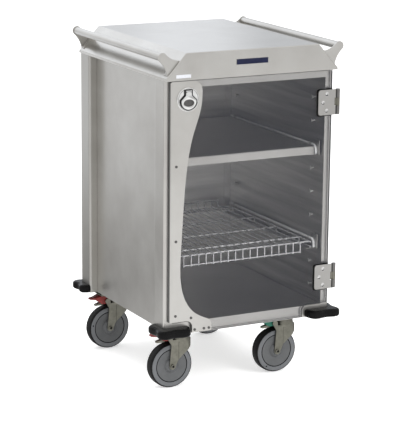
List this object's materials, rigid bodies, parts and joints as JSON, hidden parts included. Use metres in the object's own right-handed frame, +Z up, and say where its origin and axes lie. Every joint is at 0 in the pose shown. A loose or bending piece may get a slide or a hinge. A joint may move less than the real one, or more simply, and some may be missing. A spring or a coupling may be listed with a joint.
{
  "type": "case cart",
  "caption": "Closed stainless case cart on swivel casters with a clear hinged door, turn latch, solid and wire shelves, sloped top with push handles and corner bumpers",
  "frame": {"origin": "centre of the footprint at floor level", "axes": "+X to the right seen from the door, +Y to the back, +Z up"},
  "size_m": [0.6764, 0.7283, 1.137],
  "materials": {
    "stainless": "satin brushed",
    "zinc_steel": "zinc plated",
    "fastener_steel": "plain",
    "latch_chrome": "polished",
    "shelf_wire": "bright plated wire",
    "clear_sheet": "clear polycarbonate",
    "black_rubber": "matte",
    "wheel_grey": "moulded",
    "tread_black": "moulded tread",
    "pedal_red": "moulded",
    "pedal_green": "moulded"
  },
  "bodies": {
    "cabinet": {"floor_pan": "stainless", "side_panel_left": "stainless", "side_panel_right": "stainless", "rear_panel": "stainless", "ceiling_panel": "stainless", "post_front_left": "stainless", "post_front_right": "stainless", "post_rear_left": "stainless", "post_rear_right": "stainless", "front_top_rail": "stainless", "top_cover": "stainless", "handle_tube_left": "stainless", "handle_tube_right": "stainless", "handle_gussets_left": "stainless", "handle_gussets_right": "stainless", "shelf_rails_upper": "stainless", "shelf_rails_lower": "stainless", "latch_strike": "stainless", "base_channels": "zinc_steel", "caster_plates": "zinc_steel", "caster_bolts": "fastener_steel", "hinge_leaves_cabinet": "stainless", "hinge_screws_cabinet": "fastener_steel", "bumper_front_left": "black_rubber", "bumper_front_right": "black_rubber", "bumper_rear_left": "black_rubber", "bumper_rear_right": "black_rubber"},
    "door": {"door_sheet": "clear_sheet", "door_stiffener": "stainless", "hinge_leaves_door": "stainless", "hinge_gaskets": "black_rubber", "hinge_pins": "fastener_steel", "hinge_screws_door": "fastener_steel", "stiffener_screws": "fastener_steel", "latch_cup": "latch_chrome"},
    "latch": {"latch_spindle": "latch_chrome", "latch_cam": "zinc_steel"},
    "lift_ring": {"latch_lever": "latch_chrome"},
    "upper_shelf": {"shelf_solid": "stainless"},
    "lower_shelf": {"shelf_wire": "shelf_wire"},
    "caster_front_left": {"fork_front_left": "zinc_steel", "axle_front_left": "fastener_steel"},
    "wheel_front_left": {"wheel_front_left": "wheel_grey", "tyre_front_left": "tread_black"},
    "pedal_front_left": {"pedal_front_left": "pedal_red"},
    "caster_front_right": {"fork_front_right": "zinc_steel", "axle_front_right": "fastener_steel"},
    "wheel_front_right": {"wheel_front_right": "wheel_grey", "tyre_front_right": "tread_black"},
    "pedal_front_right": {"pedal_front_right": "pedal_green"},
    "caster_rear_left": {"fork_rear_left": "zinc_steel", "axle_rear_left": "fastener_steel"},
    "wheel_rear_left": {"wheel_rear_left": "wheel_grey", "tyre_rear_left": "tread_black"},
    "pedal_rear_left": {"pedal_rear_left": "pedal_red"},
    "caster_rear_right": {"fork_rear_right": "zinc_steel", "axle_rear_right": "fastener_steel"},
    "wheel_rear_right": {"wheel_rear_right": "wheel_grey", "tyre_rear_right": "tread_black"},
    "pedal_rear_right": {"pedal_rear_right": "pedal_green"}
  },
  "joints": [
    {"name": "door_swing", "type": "hinge", "parent": "cabinet", "child": "door", "pos_m": [0.321, -0.328, 0.64], "axis": [0, 0, 1], "range_deg": [0, 265]},
    {"name": "latch_turn", "type": "hinge", "parent": "door", "child": "latch", "pos_m": [-0.233, -0.3342, 0.984], "axis": [0, 1, 0], "range_deg": [0, 90]},
    {"name": "latch_lift", "type": "hinge", "parent": "latch", "child": "lift_ring", "pos_m": [-0.233, -0.3382, 1.012], "axis": [-1, 0, 0], "range_deg": [0, 75]},
    {"name": "upper_shelf_lift", "type": "slide", "parent": "cabinet", "child": "upper_shelf", "axis": [0, 0, 1], "range_m": [0, 0.03]},
    {"name": "lower_shelf_lift", "type": "slide", "parent": "cabinet", "child": "lower_shelf", "axis": [0, 0, 1], "range_m": [0, 0.03]},
    {"name": "swivel_front_left", "type": "hinge", "parent": "cabinet", "child": "caster_front_left", "pos_m": [-0.198, -0.212, 0.17], "axis": [0, 0, 1], "continuous": true},
    {"name": "roll_front_left", "type": "hinge", "parent": "caster_front_left", "child": "wheel_front_left", "pos_m": [-0.234, -0.212, 0.076], "axis": [0, 1, 0], "continuous": true},
    {"name": "pedal_press_front_left", "type": "hinge", "parent": "caster_front_left", "child": "pedal_front_left", "pos_m": [-0.244, -0.212, 0.174], "axis": [0, -1, 0], "range_deg": [0, 14]},
    {"name": "swivel_front_right", "type": "hinge", "parent": "cabinet", "child": "caster_front_right", "pos_m": [0.198, -0.212, 0.17], "axis": [0, 0, 1], "continuous": true},
    {"name": "roll_front_right", "type": "hinge", "parent": "caster_front_right", "child": "wheel_front_right", "pos_m": [0.162, -0.212, 0.076], "axis": [0, 1, 0], "continuous": true},
    {"name": "pedal_press_front_right", "type": "hinge", "parent": "caster_front_right", "child": "pedal_front_right", "pos_m": [0.152, -0.212, 0.174], "axis": [0, -1, 0], "range_deg": [0, 14]},
    {"name": "swivel_rear_left", "type": "hinge", "parent": "cabinet", "child": "caster_rear_left", "pos_m": [-0.198, 0.28, 0.17], "axis": [0, 0, 1], "continuous": true},
    {"name": "roll_rear_left", "type": "hinge", "parent": "caster_rear_left", "child": "wheel_rear_left", "pos_m": [-0.234, 0.28, 0.076], "axis": [0, 1, 0], "continuous": true},
    {"name": "pedal_press_rear_left", "type": "hinge", "parent": "caster_rear_left", "child": "pedal_rear_left", "pos_m": [-0.244, 0.28, 0.174], "axis": [0, -1, 0], "range_deg": [0, 14]},
    {"name": "swivel_rear_right", "type": "hinge", "parent": "cabinet", "child": "caster_rear_right", "pos_m": [0.198, 0.28, 0.17], "axis": [0, 0, 1], "continuous": true},
    {"name": "roll_rear_right", "type": "hinge", "parent": "caster_rear_right", "child": "wheel_rear_right", "pos_m": [0.162, 0.28, 0.076], "axis": [0, 1, 0], "continuous": true},
    {"name": "pedal_press_rear_right", "type": "hinge", "parent": "caster_rear_right", "child": "pedal_rear_right", "pos_m": [0.152, 0.28, 0.174], "axis": [0, -1, 0], "range_deg": [0, 14]}
  ]
}
